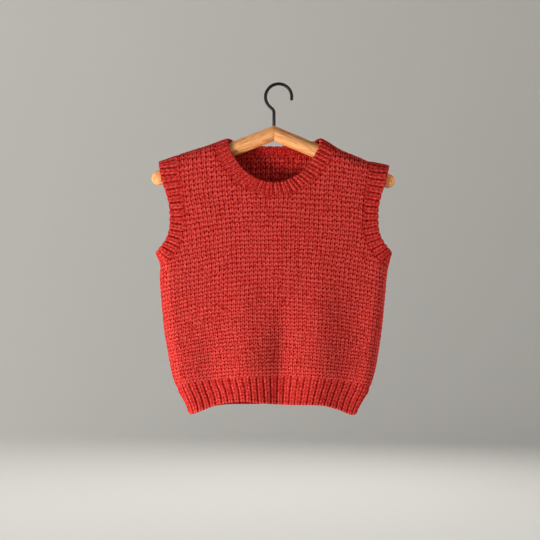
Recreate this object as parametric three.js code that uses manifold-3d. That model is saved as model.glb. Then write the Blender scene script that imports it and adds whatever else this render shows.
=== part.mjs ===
// A knitted sweater vest hanging on a round dowel hanger, in millimetres, at real size.
// X runs to the right as the vest's front is seen, Y from the front to the back, and Z up.
// The origin is the inner top of the hook's loop, where a peg or a rail carries the hanger.
//
// The knitting is cut flat and then hung, as the real one is. A point of the flat cloth has two measures:
// "out" runs sideways from the vest's middle line, and "up" is the height it hangs at. Two places bend it:
// the sides, where the cloth turns from the front to the back, and the shoulders, where it goes over the dowel.

import * as THREE from 'three';
import { mergeVertices } from 'three/addons/utils/BufferGeometryUtils.js';
import Module from 'manifold-3d';

const wasm = await Module();
wasm.setup();

// The hanger: two dowels that meet in a mitre under the hook, and a bent wire hook.
const MIDDLE = -5.8; // the vest's and hanger's middle line, a little left of the hook's loop
const DOWEL_RADIUS = 9;
const MITRE_UP = -58.9; // where the two dowels' axes meet
const ARM_END = { left: { out: 142.3, up: -114.2 }, right: { out: 140.5, up: -117.8 } }; // centre of each domed end
const WIRE_RADIUS = 2;
const LOOP_RADIUS = 16.2; // of the hook's loop, to the middle of the wire
const LOOP_FROM = -9; // degrees, where the wire's tip is
const LOOP_TO = 228; // degrees, where the wire leaves the loop
const NECK_BEND_RADIUS = 6; // of the hook's bend into the stem
const STEM_DEPTH = 15; // how deep the stem goes into the wood

// The knitting.
const WALL = 2.6;
const RIB_RAISE = 1.5; // how far a rib stands over the furrows beside it
const FURROW = 0.2; // how far a furrow lies outside the panels' face
const SEAM_GAP = 0.36;
const EDGE_TRIM = 0.22; // taken off each panel where the front meets the back
const OVER_DOWEL = DOWEL_RADIUS + 0.6 + WALL; // half the thickness of the vest at the dowel

// The body's outline: half widths left and right of the middle line, and half the thickness front to back.
const BODY = [
  { up: -60, left: 166, right: 166, deep: OVER_DOWEL },
  { up: -122, left: 160, right: 160, deep: OVER_DOWEL },
  { up: -150, left: 154, right: 154, deep: 12.7 },
  { up: -175, left: 150, right: 150, deep: 13.4 },
  { up: -190, left: 148, right: 147.6, deep: 13.8 },
  { up: -206, left: 145, right: 144.6, deep: 14.2 },
  { up: -221, left: 139.9, right: 141, deep: 14.8 },
  { up: -236, left: 140.4, right: 138.6, deep: 15.3 },
  { up: -265, left: 138.4, right: 136, deep: 16.2 },
  { up: -302, left: 134.8, right: 132.2, deep: 17 },
  { up: -331, left: 130, right: 128, deep: 17.4 },
  { up: -355, left: 125.4, right: 123.4, deep: 17.4 },
  { up: -371, left: 120, right: 118.4, deep: 17.4 },
];

// The shoulder's top line, as a height for each distance out from the middle line.
const SHOULDER = [
  { out: 0, left: -66.5, right: -66.5 },
  { out: 52, left: -66.8, right: -66.8 },
  { out: 60, left: -67.2, right: -67 },
  { out: 72, left: -71.5, right: -74 },
  { out: 82, left: -74.9, right: -79.8 },
  { out: 94, left: -78.7, right: -85.6 },
  { out: 112, left: -84.5, right: -93 },
  { out: 124, left: -88.8, right: -95.8 },
  { out: 140, left: -94.6, right: -99.2 },
  { out: 166, left: -104, right: -108 },
];

// The neck: each row is one line across the band, from its free edge to its seam. The first row lies on the
// shoulder's top line, so it has no height of its own.
const NECK_FRONT = [
  { openOut: 56, seamOut: 73.5 },
  { openOut: 57, openUp: -73, seamOut: 73, seamUp: -80 },
  { openOut: 54.5, openUp: -81, seamOut: 70.5, seamUp: -89 },
  { openOut: 49.4, openUp: -89.5, seamOut: 66, seamUp: -98 },
  { openOut: 42.5, openUp: -99.5, seamOut: 58, seamUp: -108.5 },
  { openOut: 32.5, openUp: -109.5, seamOut: 46.5, seamUp: -119.5 },
  { openOut: 17, openUp: -118, seamOut: 25.5, seamUp: -132.5 },
  { openOut: 0, openUp: -121.2, seamOut: 0, seamUp: -137.5 },
];
const NECK_BACK = [
  { openOut: 56, seamOut: 73.5 },
  { openOut: 50.5, openUp: -66.5, seamOut: 65.5, seamUp: -75.5 },
  { openOut: 42, openUp: -70.5, seamOut: 54, seamUp: -82 },
  { openOut: 29, openUp: -73.6, seamOut: 38, seamUp: -86 },
  { openOut: 14.5, openUp: -75.1, seamOut: 19, seamUp: -87.8 },
  { openOut: 0, openUp: -75.4, seamOut: 0, seamUp: -88.2 },
];

// The armhole: rows across the band as at the neck. The first row lies on the shoulder's top line, and the last
// on the side, where the front turns to the back.
const ARMHOLE = [
  { openOut: 141.2, seamOut: 118.5 },
  { openOut: 139.5, openUp: -106, seamOut: 116.5, seamUp: -103 },
  { openOut: 136, openUp: -120, seamOut: 114.3, seamUp: -116.5 },
  { openOut: 131.2, openUp: -134, seamOut: 112, seamUp: -131 },
  { openOut: 127.6, openUp: -149, seamOut: 110.6, seamUp: -147 },
  { openOut: 126.6, openUp: -163, seamOut: 109.9, seamUp: -163 },
  { openOut: 127.3, openUp: -177, seamOut: 110.8, seamUp: -180 },
  { openOut: 130.8, openUp: -189, seamOut: 114.5, seamUp: -195 },
  { openOut: 137.4, openUp: -198.5, seamOut: 121.5, seamUp: -207.5 },
  { openOut: 146, openUp: -205, seamOut: 132.5, seamUp: -217.5 },
];
const UNDERARM_OPEN = -206.8;
const UNDERARM_SEAM = -222.5;

// The welt below the body: its top line droops to the sides, and its lower edge waves.
const WELT_TOP = -356.2;
const WELT_DROOP = 14.3;
const BODY_TUCK = 2.8; // how much thinner the vest is at the welt's top than just above it
const TUCK_REACH = 13; // how far above the welt the body starts to draw in
const WELT = [
  { down: 0, left: 0, right: 0, deep: 14.6 },
  { down: 0.25, left: -3.8, right: -3.4, deep: 13.6 },
  { down: 0.5, left: -8.6, right: -8.6, deep: 13.2 },
  { down: 0.75, left: -12.8, right: -13.4, deep: 13.4 },
  { down: 1, left: -15.6, right: -17.6, deep: 14 },
];
const HEM_EDGE = [
  { across: -1, front: -401.6, back: -401.6 },
  { across: -0.91, front: -403.8, back: -402.6 },
  { across: -0.8, front: -400.6, back: -399.6 },
  { across: -0.65, front: -394.4, back: -395.6 },
  { across: -0.5, front: -390.2, back: -392.8 },
  { across: -0.32, front: -387.9, back: -391.4 },
  { across: -0.1, front: -390.6, back: -391.2 },
  { across: 0.12, front: -392.4, back: -391.6 },
  { across: 0.5, front: -392.6, back: -393.2 },
  { across: 0.7, front: -398, back: -397 },
  { across: 0.815, front: -403.2, back: -401 },
  { across: 0.9, front: -405, back: -403 },
  { across: 1, front: -402, back: -402 },
];

// Soft folds of the hanging cloth. Each starts at one height and is full at a lower one. A height over 0 is a
// ridge, and under 0 a trough.
const FOLDS = {
  front: [
    { out: -78, lean: 0.04, from: -270, full: -350, height: -1.5, half: 15 },
    { out: -34, lean: 0.03, from: -190, full: -335, height: 2.3, half: 21 },
    { out: 12, lean: -0.02, from: -240, full: -345, height: -2.5, half: 17 },
    { out: 54, lean: -0.05, from: -170, full: -325, height: 2.3, half: 19 },
    { out: 93, lean: -0.06, from: -225, full: -345, height: -2.1, half: 16 },
  ],
  back: [
    { out: -96, lean: 0.05, from: -250, full: -345, height: -1.8, half: 16 },
    { out: -55, lean: 0.04, from: -185, full: -330, height: 2.2, half: 20 },
    { out: -9, lean: 0, from: -215, full: -340, height: -2.3, half: 18 },
    { out: 36, lean: -0.03, from: -235, full: -350, height: 2, half: 18 },
    { out: 80, lean: -0.05, from: -180, full: -335, height: -1.9, half: 19 },
  ],
};

// How finely each solid is divided.
const COLUMNS = [-1, -0.95, -0.9, -0.84, -0.73, -0.61, -0.49, -0.37, -0.25, -0.125, 0];
const ROWS_OVER_DOWEL = [0, 5, 10, 15, 21]; // millimetres below the shoulder's top line
const ROWS_BELOW = 15;
const RIB_PITCH = 8.7;
const WELT_RIB_PITCH = 7.7;
const DOWEL_SIDES = 20;
const WIRE_SIDES = 10; // an even number

const { lerp, degToRad, smoothstep, clamp } = THREE.MathUtils;

// A smooth value from a table: a Catmull-Rom curve through one column, at a place counted in rows.
function alongRows(table, column, place) {
  const row = clamp(Math.floor(place), 0, table.length - 2);
  const value = (index) => table[clamp(index, 0, table.length - 1)][column];
  const t = place - row;
  const [a, b, c, d] = [value(row - 1), value(row), value(row + 1), value(row + 2)];
  return b + 0.5 * t * (c - a + t * (2 * a - 5 * b + 4 * c - d + t * (3 * (b - c) + d - a)));
}

// A smooth value from a table, at a measured key such as a height, with the slope at each row taken across it.
function atKey(table, key, column, measure) {
  const rising = table[1][key] > table[0][key] ? 1 : -1;
  let row = 0;
  while (row < table.length - 2 && rising * (measure - table[row + 1][key]) > 0) row += 1;
  const slope = (index) => {
    const [a, b] = [table[Math.max(index - 1, 0)], table[Math.min(index + 1, table.length - 1)]];
    return (b[column] - a[column]) / (b[key] - a[key]);
  };
  const [a, b] = [table[row], table[row + 1]];
  const span = b[key] - a[key];
  const t = clamp((measure - a[key]) / span, 0, 1);
  const ease = t * t * (3 - 2 * t);
  const swell = span * t * (1 - t) * (slope(row) * (1 - t) - slope(row + 1) * t);
  return lerp(a[column], b[column], ease) + swell;
}

const halfOf = (out) => (out < 0 ? 'left' : 'right');

// The dowel's axis and the shoulder's top line above a place out from the middle.
function shoulderAt(out) {
  const half = halfOf(out);
  const end = ARM_END[half];
  const slope = (MITRE_UP - end.up) / end.out;
  const tilt = Math.cos(Math.atan(slope));
  const axis = MITRE_UP - slope * Math.abs(out);
  const top = atKey(SHOULDER, 'out', half, Math.abs(out));
  const rise = Math.max((top - axis) * tilt, OVER_DOWEL);
  const sum = rise + OVER_DOWEL;
  const quarter = (Math.PI / 4) * (3 * sum - Math.sqrt((3 * rise + OVER_DOWEL) * (rise + 3 * OVER_DOWEL)));
  return { axis, tilt, rise, flatTop: axis + quarter / tilt };
}

function weltTopAt(across) {
  return WELT_TOP - WELT_DROOP * across * across;
}

// Half the thickness of the vest at a height, drawn in just above the welt.
function deepAt(across, up) {
  const nearWelt = clamp(1 - (up - weltTopAt(across)) / TUCK_REACH, 0, 1);
  return atKey(BODY, 'up', 'deep', up) - BODY_TUCK * nearWelt * nearWelt;
}

// Half the flat width of the cloth: straight to where the side turns, and a quarter round from there.
function flatWidth(wide, deep) {
  return wide - deep + (Math.PI / 2) * deep;
}
function halfFlat(half, up) {
  return flatWidth(atKey(BODY, 'up', half, up), deepAt(1, up));
}

function foldHeight(side, out, up) {
  let height = 0;
  for (const fold of FOLDS[side]) {
    const share = smoothstep(-up, -fold.from, -fold.full);
    const middle = fold.out - fold.lean * (up - fold.full);
    height += fold.height * share * Math.exp(-(((out - middle) / fold.half) ** 2));
  }
  return height;
}

// The quarter round at the side: a place along the cloth becomes a place sideways and a depth.
function roundSide(side, out, up, wide, deep) {
  const away = Math.abs(out);
  const turned = Math.max((away - (wide - deep)) / deep, 0);
  const x = Math.sign(out) * Math.min(away, wide - deep + deep * Math.sin(turned));
  const fold = foldHeight(side, x, up) * Math.cos(turned) ** 2;
  return new THREE.Vector3(MIDDLE + x, -(deep * Math.cos(turned) + fold), up);
}

// The outer face of the body and its bands, as the front has it. The back is this mirrored, with its own folds.
function bodyFace(side, out, up) {
  const { axis, tilt, rise, flatTop } = shoulderAt(out);
  if (up > axis) {
    const turned = ((up - axis) / (flatTop - axis)) * (Math.PI / 2);
    return new THREE.Vector3(MIDDLE + out, -OVER_DOWEL * Math.cos(turned), axis + (rise * Math.sin(turned)) / tilt);
  }
  const half = halfOf(out);
  const wide = atKey(BODY, 'up', half, up);
  const share = clamp(out / halfFlat(half, up), -1, 1);
  return roundSide(side, out, up, wide, deepAt(share, up));
}

// The outer face of the welt: across runs from -1 to 1 between the side seams, and down from 0 to 1.
function weltFace(side, across, down) {
  const half = halfOf(across);
  const top = weltTopAt(across);
  const up = lerp(top, atKey(HEM_EDGE, 'across', side, across), down);
  const wide = atKey(BODY, 'up', half, top) + atKey(WELT, 'down', half, down);
  const deep = atKey(WELT, 'down', 'deep', down);
  return roundSide(side, across * flatWidth(wide, deep), up, wide, deep);
}

// A point of a face moved out along its normal, and turned to the back where the piece is there.
function lifted(face, side, a, b, step, out) {
  const alongA = face(side, a + step, b).sub(face(side, a - step, b));
  const alongB = face(side, a, b + step).sub(face(side, a, b - step));
  const normal = alongA.cross(alongB).normalize();
  const point = face(side, a, b).addScaledVector(normal, out);
  if (side === 'back') point.y *= -1;
  return point;
}
const onBody = (side, out, up, lift) => lifted(bodyFace, side, out, up, 0.4, lift);
const onWelt = (side, across, down, lift) => lifted(weltFace, side, across, down, 0.004, lift);

// Turns a closed mesh's faces out.
function facingOut(geometry) {
  const { position } = geometry.attributes;
  const index = geometry.index.array;
  const [a, b, c] = [new THREE.Vector3(), new THREE.Vector3(), new THREE.Vector3()];
  let volume = 0;
  for (let i = 0; i < index.length; i += 3) {
    a.fromBufferAttribute(position, index[i]);
    b.fromBufferAttribute(position, index[i + 1]);
    c.fromBufferAttribute(position, index[i + 2]);
    volume += a.dot(b.cross(c));
  }
  if (volume < 0) {
    for (let i = 0; i < index.length; i += 3) [index[i], index[i + 1]] = [index[i + 1], index[i]];
  }
  return geometry;
}

// A closed mesh through sections that each have the same number of points, as a ring or with its ends closed.
function loft(sections, ring) {
  const count = sections[0].length;
  const faces = [];
  const steps = ring ? sections.length : sections.length - 1;
  for (let s = 0; s < steps; s += 1) {
    const here = s * count;
    const next = ((s + 1) % sections.length) * count;
    for (let p = 0; p < count; p += 1) {
      const q = (p + 1) % count;
      faces.push(here + p, here + q, next + q, here + p, next + q, next + p);
    }
  }
  if (!ring) {
    const last = (sections.length - 1) * count;
    for (let p = 1; p < count - 1; p += 1) faces.push(0, p + 1, p, last, last + p, last + p + 1);
  }
  const geometry = new THREE.BufferGeometry().setFromPoints(sections.flat());
  geometry.setIndex(faces);
  return facingOut(geometry);
}

// A geometry as a solid that can be cut, and a cut solid as a geometry again.
function asSolid(geometry) {
  const bare = geometry.clone();
  bare.deleteAttribute('normal');
  bare.deleteAttribute('uv');
  const merged = facingOut(mergeVertices(bare, 1e-5));
  const vertProperties = new Float32Array(merged.attributes.position.array);
  const triVerts = new Uint32Array(merged.index.array);
  return new wasm.Manifold(new wasm.Mesh({ numProp: 3, vertProperties, triVerts }));
}
function asGeometry(solid) {
  const mesh = solid.getMesh();
  const geometry = new THREE.BufferGeometry();
  geometry.setAttribute('position', new THREE.BufferAttribute(new Float32Array(mesh.vertProperties), 3));
  geometry.setIndex(Array.from(mesh.triVerts));
  return geometry;
}

// Both halves of a band's table as one, from the left end to the right end, with a height for the first row.
function wholeBand(rows) {
  const mirrored = (row, sign) => ({
    openOut: sign * row.openOut,
    openUp: row.openUp ?? shoulderAt(sign * row.openOut).flatTop,
    seamOut: sign * row.seamOut,
    seamUp: row.seamUp ?? shoulderAt(sign * row.seamOut).flatTop,
  });
  const left = rows.map((row) => mirrored(row, -1));
  const right = rows.slice(0, -1).map((row) => mirrored(row, 1));
  return [...left, ...right.reverse()];
}

// One half of the armhole band's table: from the shoulder's top line to the side.
function armholeRows(sign) {
  const side = (up) => sign * halfFlat(halfOf(sign), up);
  const last = {
    openOut: side(UNDERARM_OPEN),
    openUp: UNDERARM_OPEN,
    seamOut: side(UNDERARM_SEAM),
    seamUp: UNDERARM_SEAM,
  };
  return [
    ...ARMHOLE.map((row) => ({
      openOut: sign * row.openOut,
      openUp: row.openUp ?? shoulderAt(sign * row.openOut).flatTop,
      seamOut: sign * row.seamOut,
      seamUp: row.seamUp ?? shoulderAt(sign * row.seamOut).flatTop,
    })),
    last,
  ];
}

// Each rib has a furrow and the two edges of its raised face.
const RIB_STATIONS = [
  { along: 0, raise: FURROW },
  { along: 0.3, raise: FURROW + RIB_RAISE },
  { along: 0.7, raise: FURROW + RIB_RAISE },
];

// A band's line across its width, at a place from 0 to 1 along its front part and 1 to 2 along its back part.
// The back part is walked the other way, so the two parts make a ring.
class BandRing extends THREE.Curve {
  constructor(front, back) {
    super();
    this.parts = { front, back };
  }

  // A place on the band: share is 0 at the free edge and 1 at the seam, and shift moves it towards the seam.
  flatPoint(t, share, shift) {
    const turn = t * 2;
    const side = turn < 1 ? 'front' : 'back';
    const rows = this.parts[side];
    const place = (turn < 1 ? turn : 2 - turn) * (rows.length - 1);
    const open = new THREE.Vector2(alongRows(rows, 'openOut', place), alongRows(rows, 'openUp', place));
    const seam = new THREE.Vector2(alongRows(rows, 'seamOut', place), alongRows(rows, 'seamUp', place));
    const towards = seam.clone().sub(open).normalize();
    const at = open.lerp(seam, share).addScaledVector(towards, shift);
    return { side, out: at.x, up: at.y };
  }

  getPoint(t) {
    const { side, out, up } = this.flatPoint(t, 0.5, 0);
    return onBody(side, out, up, 0);
  }

  // The places of the ribs' furrows and faces, evenly spaced round the ring.
  stations() {
    const ribs = Math.round(this.getLength() / RIB_PITCH);
    const places = [];
    for (let rib = 0; rib < ribs; rib += 1) {
      for (const { along, raise } of RIB_STATIONS) {
        places.push({ t: this.getUtoTmapping((rib + along) / ribs), raise });
      }
    }
    return places;
  }
}

function ribbedRing(ring) {
  const sections = ring.stations().map(({ t, raise }) => {
    const at = (share, shift, lift) => {
      const { side, out, up } = ring.flatPoint(t, share, shift);
      return onBody(side, out, up, lift);
    };
    const trim = -SEAM_GAP / 2;
    return [
      at(1, trim, raise * 0.6),
      at(0.5, 0, raise),
      at(0, 0.5, raise * 0.7),
      at(0, 0, -WALL / 2),
      at(0, 0.5, -WALL),
      at(1, trim, -WALL),
    ];
  });
  return loft(sections, true);
}

// The flat outline that a band's seam cuts from a panel, as a prism across the flat cloth.
function seamCutter(ring, side, corners) {
  const ends = side === 'front' ? [0, 0.4999] : [0.5, 1];
  const inside = ring.stations().map(({ t }) => t).filter((t) => t > ends[0] + 0.002 && t < ends[1] - 0.002);
  const places = [ends[0], ...inside, ends[1]];
  if (side === 'back') places.reverse();
  const outline = places.map((t) => {
    const { out, up } = ring.flatPoint(t, 1, SEAM_GAP / 2);
    return new THREE.Vector2(out, up);
  });
  outline[0].y += SEAM_GAP;
  const shape = new THREE.Shape([...outline, ...corners]);
  const prism = new THREE.ExtrudeGeometry(shape, { depth: 4 * WALL, bevelEnabled: false });
  prism.translate(0, 0, -2.5 * WALL);
  return asSolid(prism);
}

const columns = [...COLUMNS, ...COLUMNS.slice(0, -1).reverse().map((share) => -share)];

// A panel is a flat slab, trimmed where the bands are picked up, and then hung on the hanger.
function panel(side, neck, armholes) {
  const rows = ROWS_OVER_DOWEL.length + ROWS_BELOW;
  const slab = new THREE.BoxGeometry(1, 1, 1, columns.length - 1, rows - 1, 1);
  const { position } = slab.attributes;
  for (let i = 0; i < position.count; i += 1) {
    const share = columns[Math.round((position.getX(i) + 0.5) * (columns.length - 1))];
    const row = Math.round((0.5 - position.getY(i)) * (rows - 1));
    const half = halfOf(share);
    const topOut = share * halfFlat(half, BODY[0].up);
    const top = shoulderAt(topOut).flatTop - EDGE_TRIM;
    const bottom = weltTopAt(share) + SEAM_GAP / 2;
    const turnEnd = top - ROWS_OVER_DOWEL.at(-1);
    const below = (row - ROWS_OVER_DOWEL.length + 1) / ROWS_BELOW;
    const up = row < ROWS_OVER_DOWEL.length ? top - ROWS_OVER_DOWEL[row] : lerp(turnEnd, bottom, below);
    const out = share * (halfFlat(half, up) - EDGE_TRIM);
    position.setXYZ(i, out, up, position.getZ(i) > 0 ? 0 : -WALL);
  }
  const far = 260;
  const neckSides = [new THREE.Vector2(NECK_FRONT[0].seamOut, 0), new THREE.Vector2(-NECK_FRONT[0].seamOut, 0)];
  let cut = asSolid(slab).subtract(seamCutter(neck, side, neckSides));
  for (const [sign, ring] of armholes) {
    const corners = [
      new THREE.Vector2(sign * far, UNDERARM_SEAM - SEAM_GAP / 2),
      new THREE.Vector2(sign * far, 0),
      new THREE.Vector2(sign * ARMHOLE[0].seamOut, 0),
    ];
    cut = cut.subtract(seamCutter(ring, side, corners));
  }
  const hung = asGeometry(cut);
  const points = hung.attributes.position;
  for (let i = 0; i < points.count; i += 1) {
    const out = points.getX(i);
    const up = Math.min(points.getY(i), shoulderAt(out).flatTop - EDGE_TRIM);
    const reach = halfFlat(halfOf(out), up) - EDGE_TRIM;
    const at = onBody(side, clamp(out, -reach, reach), up, points.getZ(i));
    points.setXYZ(i, at.x, at.y, at.z);
  }
  return facingOut(hung);
}

// The ribbed welt: sections across its height, walked from side seam to side seam.
function welt(side) {
  const flat = halfFlat('left', weltTopAt(1));
  const ribs = Math.round((2 * flat) / WELT_RIB_PITCH);
  const trim = (2.2 * EDGE_TRIM) / flat;
  const topTrim = 0.005;
  const sections = [];
  for (let rib = 0; rib < ribs; rib += 1) {
    for (const { along, raise } of RIB_STATIONS) {
      sections.push({ across: lerp(-1 + trim, 1 - trim, (rib + along) / ribs), raise });
    }
  }
  sections.push({ across: 1 - trim, raise: FURROW });
  return loft(
    sections.map(({ across, raise }) => [
      onWelt(side, across, topTrim, raise * 0.5),
      onWelt(side, across, 0.15, raise),
      onWelt(side, across, 0.55, raise),
      onWelt(side, across, 0.97, raise),
      onWelt(side, across, 1, -WALL / 2),
      onWelt(side, across, 0.97, -WALL),
      onWelt(side, across, 0.55, -WALL),
      onWelt(side, across, topTrim, -WALL),
    ]),
    false,
  );
}

// One dowel: a cylinder with a domed end, laid along its slope and mitred on the middle line.
function dowel(half) {
  const end = ARM_END[half];
  const sign = half === 'left' ? -1 : 1;
  const length = Math.hypot(end.out, MITRE_UP - end.up);
  const past = 2 * DOWEL_RADIUS;
  const dome = new THREE.Path().moveTo(0, -past).lineTo(DOWEL_RADIUS, -past).lineTo(DOWEL_RADIUS, length);
  dome.absarc(0, length, DOWEL_RADIUS, 0, Math.PI / 2, false);
  const profile = dome.getPoints(6);
  profile[profile.length - 1].x = 0;
  const turned = new THREE.LatheGeometry(profile, DOWEL_SIDES);
  turned.rotateZ(-sign * (Math.PI / 2 + Math.atan((MITRE_UP - end.up) / end.out)));
  turned.rotateX(Math.PI / 2);
  turned.translate(MIDDLE, 0, MITRE_UP);
  const beyond = new THREE.BoxGeometry(200, 60, 400);
  beyond.translate(MIDDLE - sign * (100 - SEAM_GAP / 2), 0, MITRE_UP);
  const apex = MITRE_UP + DOWEL_RADIUS / Math.cos(Math.atan((MITRE_UP - end.up) / end.out));
  const bore = new THREE.CylinderGeometry(WIRE_RADIUS + SEAM_GAP, WIRE_RADIUS + SEAM_GAP, 2 * STEM_DEPTH, 16);
  bore.rotateX(Math.PI / 2);
  bore.translate(MIDDLE, 0, apex - SEAM_GAP);
  return asGeometry(asSolid(turned).subtract(asSolid(beyond)).subtract(asSolid(bore)));
}

// The hook's wire: round the loop from its tip, then back through a bend into the straight stem.
function hookPath() {
  const centre = new THREE.Vector3(0, 0, WIRE_RADIUS - LOOP_RADIUS);
  const points = [];
  const loopSteps = 26;
  for (let i = 0; i <= loopSteps; i += 1) {
    const angle = degToRad(lerp(LOOP_FROM, LOOP_TO, i / loopSteps));
    points.push(new THREE.Vector3(Math.cos(angle), 0, Math.sin(angle)).multiplyScalar(LOOP_RADIUS).add(centre));
  }
  const leave = degToRad(LOOP_TO);
  const heading = new THREE.Vector3(-Math.sin(leave), 0, Math.cos(leave));
  const inward = new THREE.Vector3(heading.z, 0, -heading.x);
  const bendWidth = NECK_BEND_RADIUS * (1 + inward.x);
  const straight = (MIDDLE - points.at(-1).x - bendWidth) / heading.x;
  const bendFrom = points.at(-1).clone().addScaledVector(heading, straight);
  const bendCentre = bendFrom.clone().addScaledVector(inward, NECK_BEND_RADIUS);
  const bendSteps = 4;
  for (let i = 0; i <= bendSteps; i += 1) {
    const from = Math.atan2(-inward.z, -inward.x);
    const angle = lerp(from, 0, i / bendSteps);
    const arm = new THREE.Vector3(Math.cos(angle), 0, Math.sin(angle)).multiplyScalar(NECK_BEND_RADIUS);
    points.push(arm.add(bendCentre));
  }
  const apex = MITRE_UP + DOWEL_RADIUS;
  const stemEnd = apex - STEM_DEPTH + 2 * SEAM_GAP;
  const stemFrom = points.at(-1).z;
  for (const share of [0.35, 0.7, 1]) points.push(new THREE.Vector3(MIDDLE, 0, lerp(stemFrom, stemEnd, share)));
  return new THREE.CatmullRomCurve3(points, false, 'centripetal');
}

function hook() {
  const path = hookPath();
  const section = new THREE.Shape();
  section.absarc(0, 0, WIRE_RADIUS, 0, 2 * Math.PI, false);
  const steps = 42;
  const options = { steps, curveSegments: WIRE_SIDES / 2, extrudePath: path, bevelEnabled: false };
  const wire = new THREE.ExtrudeGeometry(section, options);
  const tip = new THREE.SphereGeometry(WIRE_RADIUS, WIRE_SIDES, 6);
  tip.translate(...path.getPoint(0).toArray());
  return asGeometry(asSolid(wire).add(asSolid(tip)));
}

const KNIT = { color: 0xb4342c, roughness: 0.92, metalness: 0 };
const OAK = { color: 0xe2a468, roughness: 0.55, metalness: 0 };
const BLACK_STEEL = { color: 0x1c1a1a, roughness: 0.42, metalness: 0.6 };

const vest = new THREE.Group();

function add(name, geometry, finish) {
  const mesh = new THREE.Mesh(geometry, new THREE.MeshStandardMaterial(finish));
  mesh.name = name;
  vest.add(mesh);
}

const neck = new BandRing(wholeBand(NECK_FRONT), wholeBand(NECK_BACK));
const leftArmhole = new BandRing(armholeRows(-1), armholeRows(-1));
const rightArmhole = new BandRing(armholeRows(1), armholeRows(1));
const armholes = [
  [-1, leftArmhole],
  [1, rightArmhole],
];

add('front_panel', panel('front', neck, armholes), KNIT);
add('back_panel', panel('back', neck, armholes), KNIT);
add('hem_rib_front', welt('front'), KNIT);
add('hem_rib_back', welt('back'), KNIT);
add('neckband', ribbedRing(neck), KNIT);
add('armband_left', ribbedRing(leftArmhole), KNIT);
add('armband_right', ribbedRing(rightArmhole), KNIT);
add('hanger_arm_left', dowel('left'), OAK);
add('hanger_arm_right', dowel('right'), OAK);
add('hanger_hook', hook(), BLACK_STEEL);

export default vest;
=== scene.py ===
# %% [markdown]
# A hand-knitted vest on a wooden hanger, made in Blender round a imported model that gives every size.
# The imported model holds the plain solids. This script replaces them with knitting that has its stitches,
# with turned wood and with bent wire, and leaves each piece exactly where its solid is.

# %% The frame
import math

import bmesh
import bpy
import numpy as np
from mathutils import Matrix, Vector


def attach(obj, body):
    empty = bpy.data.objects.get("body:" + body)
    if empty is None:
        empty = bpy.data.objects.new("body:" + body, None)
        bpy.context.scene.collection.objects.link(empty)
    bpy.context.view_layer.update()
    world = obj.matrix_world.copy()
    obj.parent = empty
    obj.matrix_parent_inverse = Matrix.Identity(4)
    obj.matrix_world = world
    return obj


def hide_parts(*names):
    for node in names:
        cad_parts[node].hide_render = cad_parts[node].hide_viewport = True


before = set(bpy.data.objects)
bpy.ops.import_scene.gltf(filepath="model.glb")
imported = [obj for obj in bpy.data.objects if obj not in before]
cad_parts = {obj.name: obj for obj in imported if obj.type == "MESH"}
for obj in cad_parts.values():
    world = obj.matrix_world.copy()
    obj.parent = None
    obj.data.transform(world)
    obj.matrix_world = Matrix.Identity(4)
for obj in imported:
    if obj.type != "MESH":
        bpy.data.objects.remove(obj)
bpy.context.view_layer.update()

# %% [markdown]
# Sizes are in millimetres, because a knitter thinks in them, and become metres when a mesh is made.
# They are the same sizes as the solids have. The cloth has two flat measures: "out" runs sideways from the
# vest's middle line, and "up" is the height at which that place hangs.

# %% The hanger's sizes
MM = 0.001
MIDDLE = -5.8
DOWEL_RADIUS = 9.0
MITRE_UP = -58.9
ARM_END = {"left": (142.3, -114.2), "right": (140.5, -117.8)}
WIRE_RADIUS = 2.0
LOOP_RADIUS = 16.2
LOOP_FROM = math.radians(-9)
LOOP_TO = math.radians(228)
NECK_BEND_RADIUS = 6.0
STEM_DEPTH = 15.0
print("dowels", 2 * DOWEL_RADIUS, "mm thick and wire", 2 * WIRE_RADIUS, "mm thick")

# %% The knitting's sizes
WALL = 2.6
SIDE_TRIM = 0.06
DOWEL_SLACK = 0.6
OVER_DOWEL = DOWEL_RADIUS + DOWEL_SLACK + WALL
BAND_RAISE = 1.25
WELT_RAISE = 1.15
WELT_RIB_PITCH = 8.2
STITCHES_TO_SIDE = 30
SIDE_CROWDING = 0.04
FIRST_ROW_HIGH = 4.25
ROW_GROWTH = 0.02
ROWS = 58
WELT_LAP = 1.1
SEAM_LIFT = 0.35
STEPS_PER_STITCH = 4
STITCH_RAISE = 1.7
STITCH_SINK = 0.6
print("each panel is", 2 * STITCHES_TO_SIDE, "stitches by", ROWS, "rows")


# %% The body's outline
def table(text):
    """Rows of numbers under named columns."""
    lines = [line.split() for line in text.strip().splitlines()]
    columns = np.array([[float(n) for n in line] for line in lines[1:]]).T
    return dict(zip(lines[0], columns))


BODY = table("""
    up    left   right  deep
    -371  120    118.4  17.4
    -355  125.4  123.4  17.4
    -331  130    128    17.4
    -302  134.8  132.2  17
    -265  138.4  136    16.2
    -236  140.4  138.6  15.3
    -221  139.9  141    14.8
    -206  145    144.6  14.2
    -190  148    147.6  13.8
    -175  150    150    13.4
    -150  154    154    12.7
    -122  160    160    12.2
    -60   166    166    12.2
""")
SHOULDER = table("""
    out  left   right
    0    -66.5  -66.5
    52   -66.8  -66.8
    60   -67.2  -67
    72   -71.5  -74
    82   -74.9  -79.8
    94   -78.7  -85.6
    112  -84.5  -93
    124  -88.8  -95.8
    140  -94.6  -99.2
    166  -104   -108
""")
print("the body's outline has", len(BODY["up"]), "rows and a shoulder's has", len(SHOULDER["out"]))

# %% [markdown]
# The bands are picked up along the neck and the armholes. Each row of these tables is one line across a
# band, from its free edge to its seam. A height of 0 stands for the shoulder's top line, which is worked out
# later.

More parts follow.
